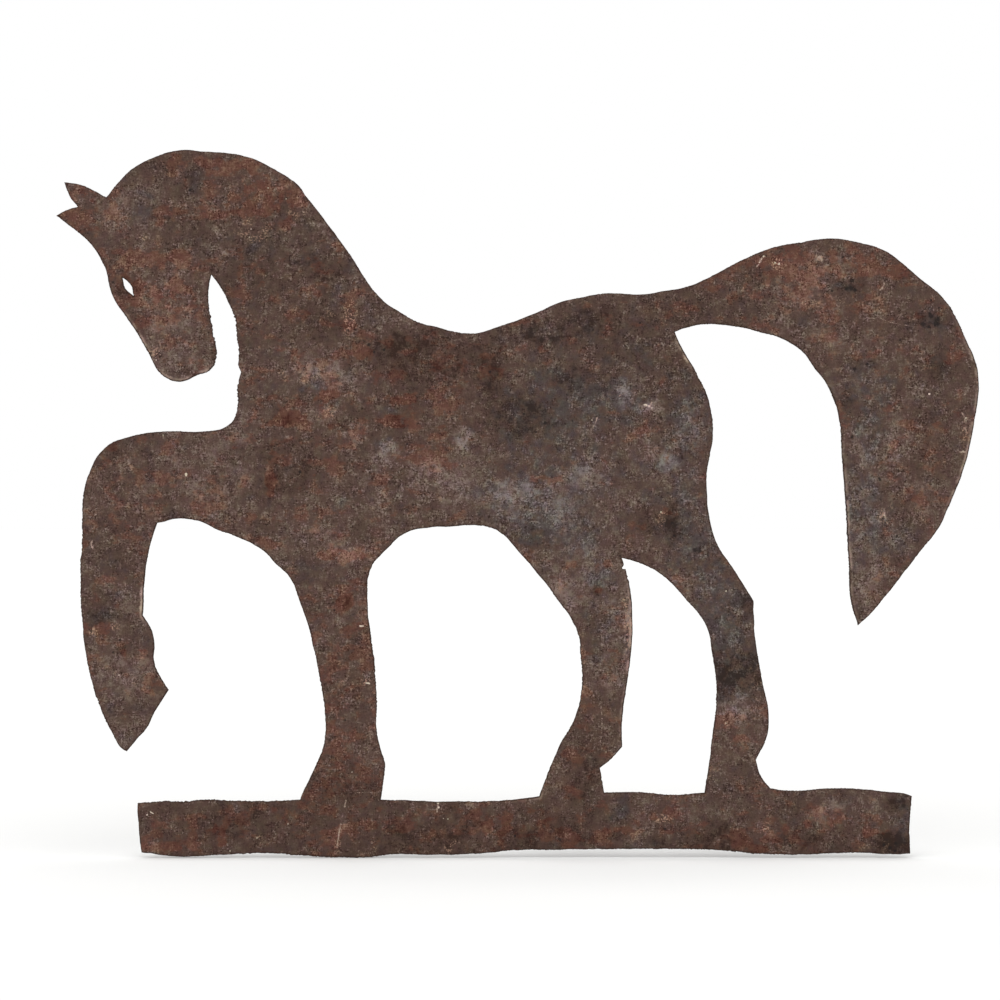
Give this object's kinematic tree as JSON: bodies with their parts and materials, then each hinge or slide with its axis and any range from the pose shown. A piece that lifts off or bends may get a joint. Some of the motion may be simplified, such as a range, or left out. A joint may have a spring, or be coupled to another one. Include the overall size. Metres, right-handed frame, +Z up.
{
  "type": "horse weathervane",
  "caption": "Flat silhouette of a walking horse on a long base bar, hand cut from one rusted iron sheet, for a roof spindle.",
  "frame": {"origin": "on the back face of the base bar, midway up it and under the standing foreleg, where the spindle's strap is fixed", "axes": "+X runs from the head towards the tail, +Y points out of the back face, +Z is up. The picture looks along +Y."},
  "size_m": [0.923, 0.003, 0.708],
  "materials": {
    "rusted_iron": "hand-cut sheet iron with an even dark brown rust, reddish blooms and grey patches of mill scale"
  },
  "bodies": {
    "root": {"horse_and_bar": "rusted_iron"}
  },
  "joints": []
}
